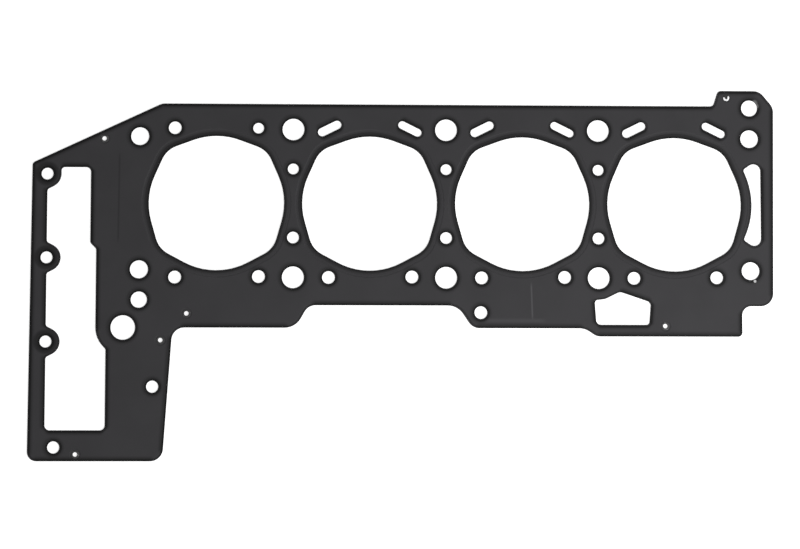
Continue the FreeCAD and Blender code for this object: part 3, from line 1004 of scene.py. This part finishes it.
@dataclass
class EyeletSet:
    """Five hollow eyelets with rolled lips, one at each eyelet node."""

    groups: Groups
    nodes: list[str]
    bore_radius: float = 1.6 * MM
    wall: float = 0.35 * MM
    flange_radius: float = 2.9 * MM
    half_height: float = 0.7 * MM
    lip_depth: float = 0.1 * MM
    rim_gauge: float = 0.02 * MM
    lip_steps: int = 6
    turns: int = 40
    scale: float = 1.0
    turn_seed: int = 7

    def section(self) -> list[tuple[float, float]]:
        """Closed outline of the wall, as radius and height.

        Returns:
            Points from under the upper flange over its lip to the bore, down the bore, round
            the lower lip and back to the shank.
        """
        shank = self.bore_radius + self.wall
        crest = (self.bore_radius + self.flange_radius) / 2
        reach = (self.flange_radius - self.bore_radius) / 2
        root = self.half_height - self.lip_depth
        outline = [(shank, root - self.rim_gauge), (self.flange_radius, root - self.rim_gauge)]
        for step in range(self.lip_steps + 1):
            angle = math.pi * step / self.lip_steps
            outline.append((crest + reach * math.cos(angle),
                            root + self.lip_depth * math.sin(angle)))
        return outline + [(radius, -height) for radius, height in reversed(outline)]

    def pressing(self) -> bpy.types.Object:
        """One eyelet as a closed mesh about Z.

        Returns:
            The template object, not linked to the scene.
        """
        mesh = bpy.data.meshes.new("eyelet_pressing")
        shape = bmesh.new()
        outline = self.section()
        rings = []
        for turn in range(self.turns):
            angle = 2 * math.pi * turn / self.turns
            rings.append([
                shape.verts.new((radius * math.cos(angle), radius * math.sin(angle), height))
                for radius, height in outline
            ])
        for turn, ring in enumerate(rings):
            following = rings[(turn + 1) % self.turns]
            for index in range(len(outline)):
                after = (index + 1) % len(outline)
                shape.faces.new((ring[index], ring[after], following[after], following[index]))
        bmesh.ops.recalc_face_normals(shape, faces=shape.faces)
        for face in shape.faces:
            face.smooth = True
        shape.to_mesh(mesh)
        shape.free()
        return bpy.data.objects.new("eyelet_pressing", mesh)

    def setting_tree(self) -> bpy.types.NodeTree:
        """Geometry nodes that set a pressing, turned at random, on every point.

        Returns:
            The node tree.
        """
        tree = bpy.data.node_groups.new("eyelet_setting", "GeometryNodeTree")
        tree.interface.new_socket("Geometry", in_out="INPUT", socket_type="NodeSocketGeometry")
        for title, kind in (("Pressing", "Object"), ("Finish", "Material"),
                            ("Size", "Float"), ("Turn seed", "Int")):
            tree.interface.new_socket(title, in_out="INPUT", socket_type=f"NodeSocket{kind}")
        tree.interface.new_socket("Geometry", in_out="OUTPUT", socket_type="NodeSocketGeometry")
        sheet = NodeSheet(tree)
        given = sheet.add("NodeGroupInput").outputs
        info = sheet.add("GeometryNodeObjectInfo")
        sheet.feed(info, "Object", given["Pressing"])
        turn = sheet.add("FunctionNodeRandomValue", data_type="FLOAT_VECTOR")
        sheet.feed(turn, "Max", (0.0, 0.0, 2 * math.pi))
        sheet.feed(turn, "Seed", given["Turn seed"])
        setting = sheet.add("GeometryNodeInstanceOnPoints")
        sheet.feed(setting, "Points", given["Geometry"])
        sheet.feed(setting, "Instance", info.outputs["Geometry"])
        sheet.feed(setting, "Rotation", turn.outputs["Value"])
        sheet.feed(setting, "Scale", given["Size"])
        real = sheet.add("GeometryNodeRealizeInstances")
        sheet.feed(real, "Geometry", setting.outputs["Instances"])
        dress = sheet.add("GeometryNodeSetMaterial")
        sheet.feed(dress, "Geometry", real.outputs["Geometry"])
        sheet.feed(dress, "Material", given["Finish"])
        result = sheet.add("NodeGroupOutput")
        sheet.feed(result, "Geometry", dress.outputs["Geometry"])
        return tree

    def set_pressings(self, pressing: bpy.types.Object,
                      material: bpy.types.Material) -> bpy.types.Mesh:
        """Run the node tree on a point at the centre of each eyelet node.

        Args:
            pressing: the template.
            material: the finish.

        Returns:
            The mesh of all the eyelets.
        """
        points = bpy.data.meshes.new("eyelet_points")
        points.from_pydata([tuple(centre_of(name)) for name in self.nodes], [], [])
        places = bpy.data.objects.new("eyelet_places", points)
        bpy.context.scene.collection.objects.link(places)
        modifier = places.modifiers.new("setting", "NODES")
        modifier.node_group = self.setting_tree()
        values = {"Pressing": pressing, "Finish": material, "Size": self.scale,
                  "Turn seed": self.turn_seed}
        for item in modifier.node_group.interface.items_tree:
            if item.in_out == "INPUT" and item.name in values:
                modifier[item.identifier] = values[item.name]
        graph = bpy.context.evaluated_depsgraph_get()
        mesh = bpy.data.meshes.new_from_object(places.evaluated_get(graph))
        bpy.data.objects.remove(places)
        return mesh

    def build(self) -> None:
        """Set the eyelets and put them in place of their nodes."""
        material = EyeletFinish(self.groups).build()
        pressing = self.pressing()
        mesh = self.set_pressings(pressing, material)
        mesh.name = "rolled_eyelets"
        bpy.data.objects.remove(pressing)
        piece = bpy.data.objects.new("rolled_eyelets", mesh)
        bpy.context.scene.collection.objects.link(piece)
        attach(piece, "root")
        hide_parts(*self.nodes)
        LOG.info("rolled_eyelets: %d set, %d faces", len(self.nodes), len(mesh.polygons))


@dataclass
class Studio:
    """White table, soft light from the lower right and the camera above.

    The camera's place is in metres and its turn in degrees, the sensor is in millimetres and
    the focal length in pixels of the image.
    """

    camera_place: tuple[float, float, float] = (-0.07742, -0.15269, 1.45424)
    camera_turn: tuple[float, float, float] = (4.0290, -1.7697, 0.0442)
    focal_pixels: float = 2069.0
    image_width: float = 800.0
    sensor: float = 36.0
    table_drop: float = -HALF_STACK
    table_size: float = 6.0
    table_level: float = 0.92
    table_roughness: float = 0.9
    table_specular: float = 0.1
    table_glow: float = 0.5
    lamp_power: float = 7.0
    lamp_size: float = 0.9
    lamp_place: tuple[float, float, float] = (0.36, -0.34, 0.62)
    sky_strength: float = 0.42

    def build_camera(self) -> None:
        """Place the camera above the gasket, almost straight down."""
        data = bpy.data.cameras.new("camera")
        data.sensor_width = self.sensor
        data.lens = self.focal_pixels / self.image_width * self.sensor
        camera = bpy.data.objects.new("camera", data)
        camera.location = self.camera_place
        camera.rotation_euler = Euler([math.radians(angle) for angle in self.camera_turn])
        bpy.context.scene.collection.objects.link(camera)
        bpy.context.scene.camera = camera

    def build_table(self) -> None:
        """Make the white table, which shows pure white where it is lit."""
        mesh = bpy.data.meshes.new("table")
        half = self.table_size / 2
        corners = [(-half, -half), (half, -half), (half, half), (-half, half)]
        mesh.from_pydata([(x, y, self.table_drop) for x, y in corners], [], [(0, 1, 2, 3)])
        table = bpy.data.objects.new("table", mesh)
        bpy.context.scene.collection.objects.link(table)
        material, sheet, shader = new_material("white_table")
        sheet.feed(shader, "Base Color", grey(self.table_level))
        sheet.feed(shader, "Roughness", self.table_roughness)
        sheet.feed(shader, "Specular IOR Level", self.table_specular)
        seen = sheet.add("ShaderNodeLightPath").outputs
        glow = sheet.math("MAXIMUM", seen["Is Camera Ray"], seen["Is Glossy Ray"])
        glow = sheet.math("MAXIMUM", glow, seen["Is Transmission Ray"])
        sheet.feed(shader, "Emission Color", grey(1.0))
        sheet.feed(shader, "Emission Strength", sheet.math("MULTIPLY", glow, self.table_glow))
        mesh.materials.append(material)

    def build_lights(self) -> None:
        """Soft key light and an even pale sky."""
        lamp = bpy.data.lights.new("softbox", "AREA")
        lamp.energy = self.lamp_power
        lamp.size = self.lamp_size
        key = bpy.data.objects.new("softbox", lamp)
        key.location = self.lamp_place
        key.rotation_euler = Vector(self.lamp_place).to_track_quat("Z", "Y").to_euler()
        bpy.context.scene.collection.objects.link(key)
        world = bpy.data.worlds.new("sky")
        world.use_nodes = True
        background = world.node_tree.nodes["Background"]
        background.inputs["Color"].default_value = grey(1.0)
        background.inputs["Strength"].default_value = self.sky_strength
        bpy.context.scene.world = world

    def build(self) -> None:
        """Make camera, table and lights."""
        self.build_camera()
        self.build_table()
        self.build_lights()
        bpy.context.scene.view_settings.view_transform = "Standard"
        LOG.info("studio: camera, table, key light and sky")


def main() -> None:
    """Dress the gasket and set up the studio."""
    logging.basicConfig(level=logging.INFO, format="%(name)s: %(message)s")
    Studio().build()
    outline = read_outline("carrier_layer", least_radius=2.5 * MM, least_run=10.0 * MM)
    LOG.info("edges: %d round holes, %d straight runs", len(outline.holes), len(outline.straights))
    groups = Groups(outline)
    Dressing("bead sheets", ["upper_bead_layer", "lower_bead_layer"], CoatFinish(groups)).build()
    Dressing("carrier sheet", ["carrier_layer"],
             SteelFinish(groups, Slot.CARRIER, level=0.3, roughness=0.45)).build()
    Dressing("stop rings", STOP_RINGS,
             SteelFinish(groups, Slot.STOP, level=0.5, roughness=0.35)).build()
    Dressing("tab rivet", [TAB_RIVET], RivetFinish(groups, axis_of(TAB_RIVET))).build()
    EyeletSet(groups, EYELETS).build()


if __name__ == "__main__":
    main()
